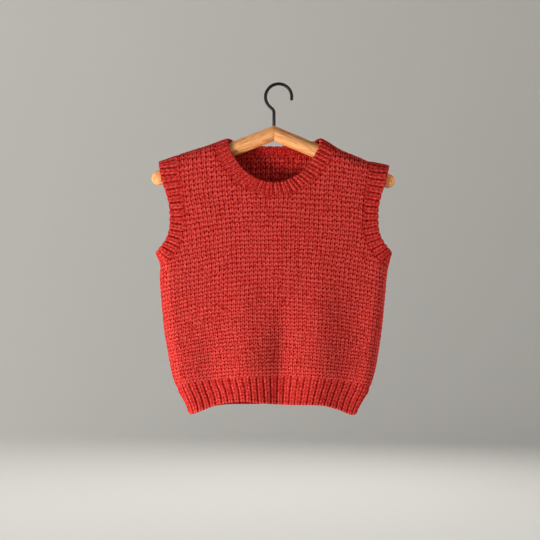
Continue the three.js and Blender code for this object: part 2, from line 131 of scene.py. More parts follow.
# %% The bands' lines
ON_TOP = 0.0
NECK_FRONT = table("""
    open_out  open_up  seam_out  seam_up
    56        0        73.5      0
    57        -73      73        -80
    54.5      -81      70.5      -89
    49.4      -89.5    66        -98
    42.5      -99.5    58        -108.5
    32.5      -109.5   46.5      -119.5
    17        -118     25.5      -132.5
    0         -121.2   0         -137.5
""")
NECK_BACK = table("""
    open_out  open_up  seam_out  seam_up
    56        0        73.5      0
    50.5      -66.5    65.5      -75.5
    42        -70.5    54        -82
    29        -73.6    38        -86
    14.5      -75.1    19        -87.8
    0         -75.4    0         -88.2
""")
ARMHOLE = table("""
    open_out  open_up  seam_out  seam_up
    141.2     0        118.5     0
    139.5     -106     116.5     -103
    136       -120     114.3     -116.5
    131.2     -134     112       -131
    127.6     -149     110.6     -147
    126.6     -163     109.9     -163
    127.3     -177     110.8     -180
    130.8     -189     114.5     -195
    137.4     -198.5   121.5     -207.5
    146       -205     132.5     -217.5
""")
UNDERARM_OPEN = -206.8
UNDERARM_SEAM = -222.5
NECK_END = NECK_FRONT["seam_out"][0]
ARMHOLE_END = ARMHOLE["seam_out"][0]
print("the neck is", 2 * NECK_END, "mm wide between its seams")

# %% The welt's sizes, and the folds of the hanging cloth
WELT_TOP = -356.2
WELT_DROOP = 14.3
ROW_DROOP = 24.0
BODY_TUCK = 2.8
TUCK_REACH = 13.0
FOLD_SHARE = 1.7
WELT = table("""
    down  left   right  deep
    0     0      0      14.6
    0.25  -3.8   -3.4   13.6
    0.5   -8.6   -8.6   13.2
    0.75  -12.8  -13.4  13.4
    1     -15.6  -17.6  14
""")
HEM_EDGE = table("""
    across  front   back
    -1      -401.6  -401.6
    -0.91   -403.8  -402.6
    -0.8    -400.6  -399.6
    -0.65   -394.4  -395.6
    -0.5    -390.2  -392.8
    -0.32   -387.9  -391.4
    -0.1    -390.6  -391.2
    0.12    -392.4  -391.6
    0.5     -392.6  -393.2
    0.7     -398    -397
    0.815   -403.2  -401
    0.9     -405    -403
    1       -402    -402
""")
FOLDS = {
    "front": table("""
        out  lean   from  full  height  half
        -78  0.04   -270  -350  -1.5    15
        -34  0.03   -190  -335  2.3     21
        10   -0.02  -230  -330  -3.1    14
        54   -0.05  -170  -325  2.7     19
        100  -0.06  -195  -315  -2.5    22
    """),
    "back": table("""
        out  lean   from  full  height  half
        -96  0.05   -250  -345  -1.8    16
        -55  0.04   -185  -330  2.2     20
        -9   0      -215  -340  -2.3    18
        36   -0.03  -235  -350  2       18
        80   -0.05  -180  -335  -1.9    19
    """),
}
print(len(FOLDS["front"]["out"]), "folds on the front and", len(FOLDS["back"]["out"]), "on the back")

# %% [markdown]
# A garment's shape is easiest to change as a few sizes at a few heights. So each shape is read from its
# table as a smooth curve, and every place of the cloth is worked out from those curves. Numpy works on all
# the points of a piece at once, which keeps a mesh of a hundred thousand points quick.


# %% Reading a table smoothly
def smooth_read(places, keys, values):
    """A curve through the table's rows, with the slope at each row taken across it."""
    places = np.clip(places, keys[0], keys[-1])
    last = len(keys) - 1
    row = np.clip(np.searchsorted(keys, places, side="right") - 1, 0, last - 1)
    before = np.maximum(np.arange(last + 1) - 1, 0)
    after = np.minimum(np.arange(last + 1) + 1, last)
    slopes = (values[after] - values[before]) / (keys[after] - keys[before])
    span = keys[row + 1] - keys[row]
    t = (places - keys[row]) / span
    ease = t * t * (3 - 2 * t)
    swell = span * t * (1 - t) * (slopes[row] * (1 - t) - slopes[row + 1] * t)
    return values[row] + (values[row + 1] - values[row]) * ease + swell


def by_half(rows, key, places, out):
    """A table's left or right column, by which side of the middle line a place is on."""
    left = smooth_read(places, rows[key], rows["left"])
    right = smooth_read(places, rows[key], rows["right"])
    return np.where(out < 0, left, right)


print("half the chest is", by_half(BODY, "up", -190.0, -1.0), "mm wide on the left")


# %% The shoulders: how the cloth goes over the dowel
def shoulder_at(out):
    """The dowel's axis, its tilt, the cloth's rise over it, and the flat height of the top line."""
    end_out = np.where(out < 0, ARM_END["left"][0], ARM_END["right"][0])
    end_up = np.where(out < 0, ARM_END["left"][1], ARM_END["right"][1])
    slope = (MITRE_UP - end_up) / end_out
    tilt = np.cos(np.arctan(slope))
    axis = MITRE_UP - slope * np.abs(out)
    top = by_half(SHOULDER, "out", np.abs(out), out)
    rise = np.maximum((top - axis) * tilt, OVER_DOWEL)
    total = rise + OVER_DOWEL
    quarter = np.pi / 4 * (3 * total - np.sqrt((3 * rise + OVER_DOWEL) * (rise + 3 * OVER_DOWEL)))
    return axis, tilt, rise, axis + quarter / tilt


print("the flat cloth ends at", shoulder_at(np.array(NECK_END))[3].round(1), "mm beside the neck")


# %% The sides: how the cloth turns from the front to the back
def welt_top_at(across):
    return WELT_TOP - WELT_DROOP * across**2


def deep_at(across, up):
    near_welt = np.clip(1 - (up - welt_top_at(across)) / TUCK_REACH, 0, 1)
    return smooth_read(up, BODY["up"], BODY["deep"]) - BODY_TUCK * near_welt**2


def flat_width(wide, deep):
    return wide - deep + np.pi / 2 * deep


def half_flat(out, up):
    return flat_width(by_half(BODY, "up", up, out), deep_at(1.0, up))


def smoothstep(value):
    value = np.clip(value, 0, 1)
    return value * value * (3 - 2 * value)


def fold_height(side, out, up):
    folds = FOLDS[side]
    height = np.zeros_like(out)
    for i in range(len(folds["out"])):
        share = smoothstep((up - folds["from"][i]) / (folds["full"][i] - folds["from"][i]))
        middle = folds["out"][i] - folds["lean"][i] * (up - folds["full"][i])
        across = np.exp(-(((out - middle) / folds["half"][i]) ** 2))
        height += FOLD_SHARE * folds["height"][i] * share * across
    return height


def round_side(side, out, up, wide, deep):
    away = np.abs(out)
    turned = np.maximum((away - (wide - deep)) / deep, 0)
    x = np.sign(out) * np.where(turned > 0, wide - deep + deep * np.sin(turned), away)
    depth = deep * np.cos(turned) + fold_height(side, x, up) * np.cos(turned) ** 2
    return np.stack([MIDDLE + x, -depth, up + 0 * x], axis=-1)


print("the underarm is", half_flat(np.array(1.0), UNDERARM_SEAM).round(1), "mm out on the flat cloth")


# %% The two faces everything is made on
BODY_STEP = 0.4
WELT_STEP = 0.004


def body_face(side, out, up):
    axis, tilt, rise, flat_top = shoulder_at(out)
    turned = (up - axis) / (flat_top - axis) * np.pi / 2
    over = np.stack(
        [MIDDLE + out, -OVER_DOWEL * np.cos(turned), axis + rise * np.sin(turned) / tilt], axis=-1
    )
    wide = by_half(BODY, "up", up, out)
    across = np.clip(out / half_flat(out, up), -1, 1)
    below = round_side(side, out, up, wide, deep_at(across, up))
    return np.where((up > axis)[..., None], over, below)


def welt_face(side, across, down):
    top = welt_top_at(across)
    edge = smooth_read(across, HEM_EDGE["across"], HEM_EDGE[side])
    up = top + (edge - top) * down
    wide = by_half(BODY, "up", top, across) + by_half(WELT, "down", down, across)
    deep = smooth_read(down, WELT["down"], WELT["deep"])
    return round_side(side, across * flat_width(wide, deep), up, wide, deep)


def lifted(face, side, a, b, step, lift):
    """Points of a face moved out along its normal, and turned to the back where the piece is there."""
    along_a = face(side, a + step, b) - face(side, a - step, b)
    along_b = face(side, a, b + step) - face(side, a, b - step)
    normal = np.cross(along_a, along_b)
    normal /= np.linalg.norm(normal, axis=-1, keepdims=True)
    points = face(side, a, b) + normal * np.asarray(lift)[..., None]
    if side == "back":
        points[..., 1] *= -1
    return points


def on_body(side, out, up, lift):
    return lifted(body_face, side, out, up, BODY_STEP, lift)


def on_welt(side, across, down, lift):
    """As on_body, but its second measure runs down, so the normal that comes out points inwards."""
    return lifted(welt_face, side, across, down, WELT_STEP, -lift)


chest = on_body("front", np.zeros(1), np.array([-190.0]), np.zeros(1))
print("the middle of the chest hangs at", chest.round(1))

# %% [markdown]
# A band runs round its opening as a ring: along the front, then back along the back. It could be made as a
# front strip and a back strip, but a ring keeps its ribs even and has no joint to hide. A place on it is
# given by how far round it is, and by its share of the way from the free edge (0) to the seam (1).

# %% The bands as rings
RING_SAMPLES = 1201


def band_rows(rows, signs):
    """A band's rows from one end to the other, with the shoulder's height filled in."""
    parts = []
    for sign in signs:
        part = {name: column.copy() for name, column in rows.items()}
        for edge in ("open", "seam"):
            part[f"{edge}_out"] = sign * part[f"{edge}_out"]
            top = shoulder_at(part[f"{edge}_out"])[3]
            part[f"{edge}_up"] = np.where(part[f"{edge}_up"] == ON_TOP, top, part[f"{edge}_up"])
        parts.append(part)
    if len(parts) == 1:
        return parts[0]
    return {name: np.concatenate([parts[0][name], parts[1][name][-2::-1]]) for name in rows}


def armhole_rows(sign):
    rows = band_rows(ARMHOLE, [sign])
    for edge, up in (("open", UNDERARM_OPEN), ("seam", UNDERARM_SEAM)):
        side_out = sign * half_flat(np.array([float(sign)]), np.array([up]))
        rows[f"{edge}_out"] = np.append(rows[f"{edge}_out"], side_out)
        rows[f"{edge}_up"] = np.append(rows[f"{edge}_up"], up)
    return rows


def along_rows(values, place):
    """A Catmull-Rom curve through one column, at places counted in rows."""
    last = len(values) - 1
    row = np.clip(np.floor(place).astype(int), 0, last - 1)
    t = place - row
    a, b, c, d = (values[np.clip(row + k, 0, last)] for k in (-1, 0, 1, 2))
    return b + 0.5 * t * (c - a + t * (2 * a - 5 * b + 4 * c - d + t * (3 * (b - c) + d - a)))


def flat_on_band(rows, place, share, shift=0.0):
    open_out, open_up = along_rows(rows["open_out"], place), along_rows(rows["open_up"], place)
    seam_out, seam_up = along_rows(rows["seam_out"], place), along_rows(rows["seam_up"], place)
    wide = np.hypot(seam_out - open_out, seam_up - open_up)
    share = share + shift / wide
    return open_out + (seam_out - open_out) * share, open_up + (seam_up - open_up) * share


def on_ring(ring, turn, share, shift, lift):
    """Points on a band: turn runs from 0 to 1 round the ring, the front first."""
    points = np.zeros(turn.shape + (3,))
    for side, chosen in (("front", turn < 0.5), ("back", turn >= 0.5)):
        rows = ring[side]
        half_turn = turn * 2 if side == "front" else 2 - turn * 2
        place = half_turn[chosen] * (len(rows["open_out"]) - 1)
        out, up = flat_on_band(rows, place, share[chosen], shift[chosen])
        points[chosen] = on_body(side, out, up, lift[chosen])
    return points


def even_turns(ring, count):
    """Places round a ring that are equally far apart along its middle."""
    fine = np.linspace(0, 1, RING_SAMPLES)
    nothing = np.zeros(RING_SAMPLES)
    middle = on_ring(ring, fine % 1.0, nothing + 0.5, nothing, nothing)
    length = np.concatenate([[0], np.cumsum(np.linalg.norm(np.diff(middle, axis=0), axis=1))])
    return np.interp(np.linspace(0, length[-1], count + 1), length, fine), length[-1]


NECK = {"front": band_rows(NECK_FRONT, [-1, 1]), "back": band_rows(NECK_BACK, [-1, 1])}
LEFT_ARMHOLE = {side: armhole_rows(-1) for side in ("front", "back")}
RIGHT_ARMHOLE = {side: armhole_rows(1) for side in ("front", "back")}
print("neckband", round(even_turns(NECK, 10)[1]), "mm round")

# %% [markdown]
# A finish is a small graph of shader nodes. Written as sums and products it reads like the idea behind it,
# so one small class wraps a node's output and turns Python's operators into Math nodes.


# %% The shader language
class Value:
    """A number that varies over the surface."""

    def __init__(self, finish, socket):
        self.finish, self.socket = finish, socket

    def math(self, operation, *others):
        return self.finish.node("Math", {"operation": operation}, [self, *others])

    def __add__(self, other):
        return self.math("ADD", other)

    def __sub__(self, other):
        return self.math("SUBTRACT", other)

    def __mul__(self, other):
        return self.math("MULTIPLY", other)

    def __rsub__(self, other):
        return self.finish.node("Math", {"operation": "SUBTRACT"}, [other, self])

    __radd__ = __add__
    __rmul__ = __mul__

    def from_middle(self):
        """0 in the middle between two whole numbers, and 1 at each of them."""
        return (self.math("FRACT") - 0.5).math("ABSOLUTE") * 2


class Finish:
    """A material and the nodes that it is made of."""

    def __init__(self, name):
        self.material = bpy.data.materials.new(name)
        self.material.use_nodes = True
        self.nodes = self.material.node_tree.nodes
        self.links = self.material.node_tree.links
        self.shader = self.nodes["Principled BSDF"]

    def feed(self, value, socket):
        if isinstance(value, Value):
            self.links.new(value.socket, socket)
        else:
            socket.default_value = value

    def node(self, kind, settings=None, inputs=None, output=0):
        made = self.nodes.new("ShaderNode" + kind)
        for name, setting in (settings or {}).items():
            if name == "stops":
                self.set_stops(made.color_ramp, setting)
            else:
                setattr(made, name, setting)
        pairs = inputs.items() if isinstance(inputs, dict) else enumerate(inputs or [])
        for key, value in pairs:
            self.feed(value, made.inputs[key])
        return Value(self, made.outputs[output])

    def set_stops(self, ramp, stops):
        while len(ramp.elements) < len(stops):
            ramp.elements.new(0.5)
        for element, (place, colour) in zip(ramp.elements, stops):
            element.position = place
            element.color = (*colour, 1)

    def mix(self, share, first, second, blend="MIX"):
        """A Mix node's colour side, whose factor and colours are its inputs 0, 6 and 7."""
        first = first if isinstance(first, Value) else (*first, 1)
        second = second if isinstance(second, Value) else (*second, 1)
        settings = {"data_type": "RGBA", "blend_type": blend}
        return self.node("Mix", settings, {0: share, 6: first, 7: second}, output=2)

    def mask(self, value, low, high):
        """0 below low and 1 above high, with a soft step between."""
        return self.node("MapRange", {"interpolation_type": "SMOOTHSTEP"}, [value, low, high])

    def noise(self, vector, scale, detail=2.0, roughness=0.5):
        inputs = {"Vector": vector, "Scale": scale, "Detail": detail, "Roughness": roughness}
        return self.node("TexNoise", None, inputs)

    def set(self, **values):
        for name, value in values.items():
            self.feed(value, self.shader.inputs[name.replace("_", " ")])


print("the file starts with", len(bpy.data.materials), "finishes")

# %% [markdown]
# Wool scatters light from thousands of loose fibres, so it is nearly matt, with a faint sheen at grazing
# angles. Where the yarn dives into the cloth, its shade is painted into the colour. The stitch map counts
# stitches sideways (u) and rows upwards (v), so the finish knows where each strand, gap and furrow lies and
# can be finer than the mesh. A picture of knitting would be simpler, but it would repeat and wouldn't follow
# the raised stitches. Noise on the piece's own coordinates adds the plies and the fluff.


# %% The two stitches as painted shade
# How much painted shade darkens the colour in each furrow, gap, split, pin hole and vee; the same values also
# give the bump.
FURROW_PAINTED_SHADE = 0.24
GAP_PAINTED_SHADE = 0.15
SPLIT_PAINTED_SHADE = 0.22
PIN_HOLE_PAINTED_SHADOW = 0.75
RIB_FURROW_PAINTED_SHADE = 0.41
RIB_SPLIT_PAINTED_SHADE = 0.15
RIB_VEE_PAINTED_SHADE = 0.2
RIB_SHADE = 0.86
print("a furrow takes away", FURROW_PAINTED_SHADE, "of the body's shade and", RIB_FURROW_PAINTED_SHADE, "of the rib's")


def own_number(finish, u, v):
    """A random number from 0 to 1 for each whole u and v."""
    cell = finish.node("CombineXYZ", None, [u.math("FLOOR"), v.math("FLOOR"), 0.0])
    return finish.node("TexWhiteNoise", {"noise_dimensions": "2D"}, [cell])


def body_stitch(finish, u, v, tension):
    """Two strands a stitch that lean into a vee, with painted shade in furrows, gaps, splits and pin holes.
    """
    strand = own_number(finish, u * 2, v)
    looseness = own_number(finish, u * 2 + 0.5, v + 40)
    edge = u.from_middle()
    row = (v + edge * 0.4 + (strand - 0.5) * 0.3).from_middle()
    furrow = finish.mask(row, 0.3, 1.0) * (0.85 + 0.3 * tension)
    gap = finish.mask(edge, 0.35, 1.0)
    split = finish.mask((u * 2 + strand * 0.2).from_middle(), 0.3, 1.0)
    pin_hole = furrow * (gap * 0.35 + split * 0.65 * looseness)
    dips = (1 - FURROW_PAINTED_SHADE * furrow) * (1 - GAP_PAINTED_SHADE * gap) * (1 - SPLIT_PAINTED_SHADE * split)
    return dips * (1 - PIN_HOLE_PAINTED_SHADOW * pin_hole) * (0.94 + 0.12 * strand)


def rib_stitch(finish, u, v, tension):
    """A column of vees between two furrows, with painted shade in the furrows, splits and vees."""
    edge = u.from_middle()
    furrow = finish.mask(edge, 0.66, 1.0) * (0.75 + 0.5 * tension)
    split = finish.mask(1 - edge, 0.66, 1.0)
    vee = finish.mask((v + edge * 0.55).from_middle(), 0.5, 1.0)
    dips = (1 - RIB_FURROW_PAINTED_SHADE * furrow) * (1 - RIB_SPLIT_PAINTED_SHADE * split) * (1 - RIB_VEE_PAINTED_SHADE * vee)
    return RIB_SHADE * dips


# %% Wool
# The ramp's stops: painted light on the yarn's tops, its own red, painted shade in the dips, painted shadow
# in the holes.
LIT = (0.70, 0.085, 0.071)
MID = (0.49, 0.018, 0.015)
DEEP_PAINTED_SHADE = (0.19, 0.002, 0.0016)
HOLE_PAINTED_SHADOW = (0.035, 0.0005, 0.0005)


def wool(name, stitch):
    """One red wool: painted light on top, painted shade deep red in its dips, nearly black in its holes."""
    finish = Finish(name)
    place = finish.node("TexCoord", output=3)
    stitches = finish.node("UVMap", {"uv_map": "stitches"})
    u = finish.node("SeparateXYZ", None, [stitches])
    v = finish.node("SeparateXYZ", None, [stitches], output=1)
    open_air = finish.node("Attribute", {"attribute_name": "open_air"}, output=2)
    uneven = finish.noise(place, 30.0, 2.0)
    fluff = finish.noise(place, 1100.0, 3.0, 0.7)
    plies = finish.noise(place, 480.0, 2.0, 0.6)
    each = finish.noise(stitches, 1.1, 1.0)
    tension = finish.noise(stitches, 1.2, 3.0)
    height = stitch(finish, u, v, tension)
    grain = (plies - 0.5) * 0.95 + (fluff - 0.5) * 0.3 + (each - 0.5) * 0.08
    # The stitch's height gives the bump and also painted shade; the attribute adds painted shade near seams,
    # inside and under hems, and painted light on cast-on loops.
    shade = height * (0.35 + 0.65 * open_air) + grain
    stops = [(0.12, HOLE_PAINTED_SHADOW), (0.4, DEEP_PAINTED_SHADE), (0.72, MID), (1.0, LIT)]
    colour = finish.node("ValToRGB", {"stops": stops}, [shade])
    tone = 0.96 + uneven * 0.08
    colour = finish.mix(1.0, colour, finish.node("CombineXYZ", None, [tone, tone, tone]), "MULTIPLY")
    surface = height + plies * 0.3 + fluff * 0.25
    normal = finish.node("Bump", None, {"Strength": 0.6, "Distance": 0.0007, "Height": surface})
    finish.set(Base_Color=colour, Roughness=0.92, Normal=normal)
    finish.set(Sheen_Weight=0.03, Sheen_Roughness=0.5, Sheen_Tint=(1.0, 0.3, 0.22, 1))
    finish.set(Specular_IOR_Level=0.04)
    return finish.material


KNIT_WOOL = wool("knit wool", body_stitch)
RIB_WOOL = wool("rib wool", rib_stitch)
print("made", KNIT_WOOL.name, "and", RIB_WOOL.name)

# %% [markdown]
# The body is a textured stitch: each stitch stands up as two short strands that lean into a vee, with a gap
# between neighbours and a furrow between rows. A bump in the finish alone would leave the outline smooth, so
# the relief is in the mesh. Four steps a stitch are enough for it, since they fall on its gap, its strands
# and the dip between them. A hand knitter's tension varies, so the stitches are plump or flat, and their
# places wander a little.

# %% The body's stitch as a height
DRAWN = 128


def to_edge(value):
    part = value - np.floor(value)
    return np.minimum(part, 1 - part)


def bump(value, half):
    return np.exp(-((value / half) ** 2))


def wander(u, v, seed):
    """Smooth random values from -1 to 1, with a new one at each whole u and v."""
    draws = np.random.RandomState(seed).uniform(-1, 1, (DRAWN, DRAWN))
    i, j = np.floor(u).astype(int), np.floor(v).astype(int)
    a, b = smoothstep(u - i), smoothstep(v - j)
    at, beside = i % DRAWN, (i + 1) % DRAWN
    row, above = j % DRAWN, (j + 1) % DRAWN
    low = draws[at, row] * (1 - a) + draws[beside, row] * a
    high = draws[at, above] * (1 - a) + draws[beside, above] * a
    return low * (1 - b) + high * b


def textured_stitch(u, v):
    lean = 0.5 * to_edge(u + 0.5) + 0.14 * wander(2 * u - 0.5, v, 5)
    row = bump(to_edge(v + lean), 0.2)
    gap, split = bump(to_edge(u), 0.15), bump(to_edge(u + 0.5), 0.13)
    plump = 1 + 0.05 * wander(u - 0.5, v - 0.5, 3) + 0.16 * wander(u * 4, v * 4, 4)
    return plump * (1 - 0.26 * row - (0.22 + 0.2 * row) * gap - (0.14 + 0.2 * row) * split)


def own_place(u, v):
    """Where a stitch has wandered to, with the cloth's edges left straight."""
    free = smoothstep((STITCHES_TO_SIDE - np.abs(u)) / 3) * smoothstep(v / 3)
    sideways = 0.09 * wander(u, v, 11) + 0.3 * wander(u / 7, v / 9, 12)
    upward = 0.08 * wander(u, v, 13) + 0.35 * wander(u / 9, v / 5, 14)
    return u + free * sideways, v + free * upward


trial = textured_stitch(np.linspace(0, 4, 81), np.full(81, 2.25))
print("a stitch's height goes from", trial.min().round(2), "to", trial.max().round(2))

# %% [markdown]
# Each panel is cut flat and then hung, as the real one is. A grid whose lines follow the stitches is cut to
# the outline with the parts inside the neck and the armholes taken out, and given its thickness while it is
# flat. Only then does every point go to its place. A hung shape could be cut with cutters instead, but its
# stitches would no longer be even. The cut edges run a little under the bands, as on the real vest.


# %% Meshes from a flat grid
def flat_grid(columns, rows):
    """A grid from -1 to 1 both ways."""
    made = bmesh.new()
    bmesh.ops.create_grid(made, x_segments=columns, y_segments=rows, size=1)
    return made


def corners_of(made):
    made.verts.ensure_lookup_table()
    return np.array([vert.co[:] for vert in made.verts])


def finished_piece(name, made, points, stitches, open_air, material):
    """Puts a bmesh's points in place and makes it an object, with its stitch map and its painted light and
    shade.
    """
    mesh = bpy.data.meshes.new(name)
    made.to_mesh(mesh)
    made.free()
    mesh.vertices.foreach_set("co", (points * MM).astype(np.float32).ravel())
    corner = np.zeros(len(mesh.loops), np.int32)
    mesh.loops.foreach_get("vertex_index", corner)
    layer = mesh.uv_layers.new(name="stitches")
    layer.uv.foreach_set("vector", stitches[corner].astype(np.float32).ravel())
    painted_light_layer = mesh.attributes.new("open_air", "FLOAT", "POINT")
    painted_light_layer.data.foreach_set("value", open_air.astype(np.float32))
    mesh.materials.append(material)
    mesh.shade_smooth()
    mesh.update()
    piece = bpy.data.objects.new(name, mesh)
    bpy.context.collection.objects.link(piece)
    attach(piece, "root")
    print(name, len(mesh.polygons), "faces")
    return piece


def face_outward(made):
    bmesh.ops.recalc_face_normals(made, faces=made.faces[:])


# %% Which places a band takes out of a panel
UNDER_BAND = 0.95
FAR_ASIDE = 260.0
ABOVE_ALL = 0.0
LINE_POINTS = 90
SEAM_SHADE = 4.0


def inside_outline(out, up, outline):
    """Whether each place lies inside a closed outline."""
    inside = np.zeros(out.shape, bool)
    for (x0, y0), (x1, y1) in zip(outline, np.roll(outline, -1, axis=0)):
        if y0 == y1:
            continue
        spans = (y0 > up) != (y1 > up)
        inside ^= spans & (out < (x1 - x0) * (up - y0) / (y1 - y0) + x0)
    return inside


def band_line(rows, share):
    place = np.linspace(0, len(rows["open_out"]) - 1, LINE_POINTS)
    out, up = flat_on_band(rows, place, share)
    return np.stack([out, up], axis=1)


def bands_of(side):
    """Each band's rows, with the corners that close its opening."""
    found = [(NECK[side], [(NECK_END, ABOVE_ALL), (-NECK_END, ABOVE_ALL)])]
    for sign, armhole in ((-1, LEFT_ARMHOLE), (1, RIGHT_ARMHOLE)):
        aside = sign * FAR_ASIDE
        end = (sign * ARMHOLE_END, ABOVE_ALL)
        found.append((armhole[side], [(aside, UNDERARM_SEAM), (aside, ABOVE_ALL), end]))
    return found


def taken_out(side, out, up):
    gone = np.zeros(out.shape, bool)
    for rows, corners in bands_of(side):
        gone |= inside_outline(out, up, np.concatenate([band_line(rows, UNDER_BAND), corners]))
    return gone


def seam_distance(side, out, up):
    nearest = np.full(out.shape, np.inf)
    for rows, _ in bands_of(side):
        for x, y in band_line(rows, 1.0):
            nearest = np.minimum(nearest, np.hypot(out - x, up - y))
    return nearest


below_neck = taken_out("front", np.zeros(2), np.array([-110.0, -150.0]))
print("taken out at 110 and 150 mm down:", below_neck)

# %% Hanging a panel
CALM_SIDE = 0.8
CALM_ROWS = 0.6
INSIDE_RELIEF = 0.7
# Painted shade: the share of light that a panel's inside and its cloth beside the bands' seams keep.
INSIDE_PAINTED_LIGHT = 0.8
SEAM_PAINTED_LIGHT = 0.76
DROOP_ROWS = 20
FLAT_THICK = 0.01


def stitch_place(u, v):
    """Where a stitch of the body lies on the flat cloth."""
    u, v = own_place(u, v)
    across = u / STITCHES_TO_SIDE
    across = across * (1 + SIDE_CROWDING * (1 - across**2))
    droop = WELT_DROOP + (ROW_DROOP - WELT_DROOP) * smoothstep(v / DROOP_ROWS)
    up = WELT_TOP - WELT_LAP + FIRST_ROW_HIGH * v + ROW_GROWTH * v**2 - droop * across**2
    return across * (half_flat(u, up) - SIDE_TRIM), up


def stitches_at(made):
    """Each point's stitch and row, and its place on the flat cloth."""
    corners = corners_of(made)
    u, v = corners[:, 0] * STITCHES_TO_SIDE, (corners[:, 1] + 1) / 2 * ROWS
    return u, v, *stitch_place(u, v)


def cut_flat(side):
    """A panel's cloth, flat and with its thickness, less what the bands take out of it."""
    made = flat_grid(2 * STITCHES_TO_SIDE * STEPS_PER_STITCH, ROWS * STEPS_PER_STITCH)
    _, _, out, up = stitches_at(made)
    gone = taken_out(side, out, up) | (up > shoulder_at(out)[3] - SIDE_TRIM)
    cut = [face for face in made.faces if all(gone[vert.index] for vert in face.verts)]
    bmesh.ops.delete(made, geom=cut, context="FACES")
    bmesh.ops.solidify(made, geom=made.faces[:], thickness=FLAT_THICK)
    face_outward(made)
    return made


def knit_panel(name, side):
    made = cut_flat(side)
    thick = corners_of(made)[:, 2]
    outer = thick > thick.mean()
    u, v, out, up = stitches_at(made)
    up = np.minimum(up, shoulder_at(out)[3] - SIDE_TRIM)
    height = textured_stitch(u, v)
    off_seam = smoothstep(v / CALM_ROWS)
    calm = smoothstep((STITCHES_TO_SIDE - np.abs(u)) / CALM_SIDE) * off_seam
    proud = (height * STITCH_RAISE - STITCH_SINK) * calm + SEAM_LIFT * (1 - off_seam)
    lift = np.where(outer, proud, -WALL - height * INSIDE_RELIEF)
    points = on_body(side, out, up, lift)
    # Painted shade: the outside darkens towards the bands' seams, and the inside is darker all over.
    off_band = smoothstep(seam_distance(side, out, up) / SEAM_SHADE)
    open_air = np.where(outer, SEAM_PAINTED_LIGHT + (1 - SEAM_PAINTED_LIGHT) * off_band, INSIDE_PAINTED_LIGHT)
    stitches = np.stack([u, v], axis=1)
    if side == "front":
        bmesh.ops.reverse_faces(made, faces=made.faces[:])
    return finished_piece(name, made, points, stitches, open_air, KNIT_WOOL)


front_knit = knit_panel("front_knit", "front")
back_knit = knit_panel("back_knit", "back")
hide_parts("front_panel")
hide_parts("back_panel")

# %% [markdown]
# Rib is knitted in columns: one column of knit stitches stands up, the purl column beside it sinks away. A
# knit column shows a chain of small vees, two strands that lean towards each other and repeat each row. A
# plain wave would give the columns, but not the strands, so the height is a crest with two strands on it.

# %% Rib as a height
RIB_ROW_HIGH = 4.6
BAND_WIDE = 16.5
WELT_HIGH = 36.0


def rib_height(ribs, rows, split):
    """A 1x1 rib: ribs counts across them, with a furrow at each whole number, and rows along them."""
    part = np.abs(ribs - np.floor(ribs) - 0.5)
    crest = 1 - smoothstep((part - 0.27) / 0.21)
    along = rows + 0.6 * part
    strands = bump(part - 0.21, 0.14) * (1 - 0.2 * bump(to_edge(along), 0.2))
    plump = 1 + 0.15 * wander(np.floor(ribs), rows * 0.5, 23)
    return crest * (1 - split + split * strands) * plump


trial = rib_height(np.array([0.0, 0.5]), np.zeros(2), 0.0)
print("rib's height in a furrow and on a crest", trial.round(2))

# %% [markdown]
# A band is a strip of rib with a right side, a round free edge and a wrong side. It could be a thin strip
# with a Solidify modifier, but that leaves the edge square. So its cross-section is written once, a flat grid
# has as many rows as the section has points, and the grid is rolled into a tube as it goes round the ring.

# %% A band's cross-section
BAND_STEPS = 14
EDGE_STEPS = 6
EDGE_ROUND = 1.1
MERGE_WITHIN = 0.01
WRONG_SIDE_RELIEF = 0.3
RIB_LIFT = 0.1


def band_profile(face_steps):
    """A section's share of the way to the seam, its shift, its lift and how much it faces out."""
    face = np.linspace(1, 0, face_steps + 1)
    round_edge = np.linspace(0, np.pi, EDGE_STEPS + 1)[1:-1]
    share = np.concatenate([face, 0 * round_edge, face[::-1]])
    shift = np.concatenate([0 * face, -EDGE_ROUND * np.sin(round_edge), 0 * face])
    lift = np.concatenate([0 * face, (np.cos(round_edge) - 1) * WALL / 2, 0 * face - WALL])
    shown = np.concatenate([1 + 0 * face, 0.5 + 0.5 * np.cos(round_edge), 0 * face])
    return share, shift, lift, shown


def section_on_grid(made, profile):
    """How far along each point of a grid is, and its profile's values, which close into a ring."""
    corners = corners_of(made)
    row = np.rint((corners[:, 1] + 1) / 2 * len(profile[0])).astype(int)
    return (corners[:, 0] + 1) / 2, *(np.append(values, values[0])[row] for values in profile)


def rolled_up(made, points):
    """Rolls a grid into a tube, merges its two sides, and tells which points stay."""
    order = made.verts.layers.int.new("order")
    for index, (vert, point) in enumerate(zip(made.verts, points)):
        vert[order] = index
        vert.co = point
    bmesh.ops.remove_doubles(made, verts=made.verts[:], dist=MERGE_WITHIN)
    rims = [edge for edge in made.edges if edge.is_boundary]
    bmesh.ops.holes_fill(made, edges=rims, sides=0)
    face_outward(made)
    kept = np.array([vert[order] for vert in made.verts])
    made.verts.layers.int.remove(order)
    return kept


def rib_relief(height, lift, shown, raise_by):
    """How far rib stands out on its right side, and how little it does on its wrong side."""
    outside = height * raise_by + RIB_LIFT
    return lift + shown * outside - (1 - shown) * WRONG_SIDE_RELIEF * (1 - height)


print("a band's section has", len(band_profile(BAND_STEPS)[0]), "points")

# %% The bands, picked up along their rings
NECK_RIBS = {"pitch": 10.4, "columns_a_rib": 2, "split": 0.62, "steps_per_rib": 16}
ARM_RIBS = {"pitch": 8.6, "columns_a_rib": 1, "split": 0.36, "steps_per_rib": 12}
BAND_SWAY = 0.06
SEAM_RIDGE = 1.0
RIDGE_AT = 0.96
RIDGE_HALF = 0.05


def rib_piece(name, made, points, stitches, open_air, kept, node):
    points, stitches, open_air = points[kept], stitches[kept], open_air[kept]
    piece = finished_piece(name, made, points, stitches, open_air, RIB_WOOL)
    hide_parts(node)
    return piece


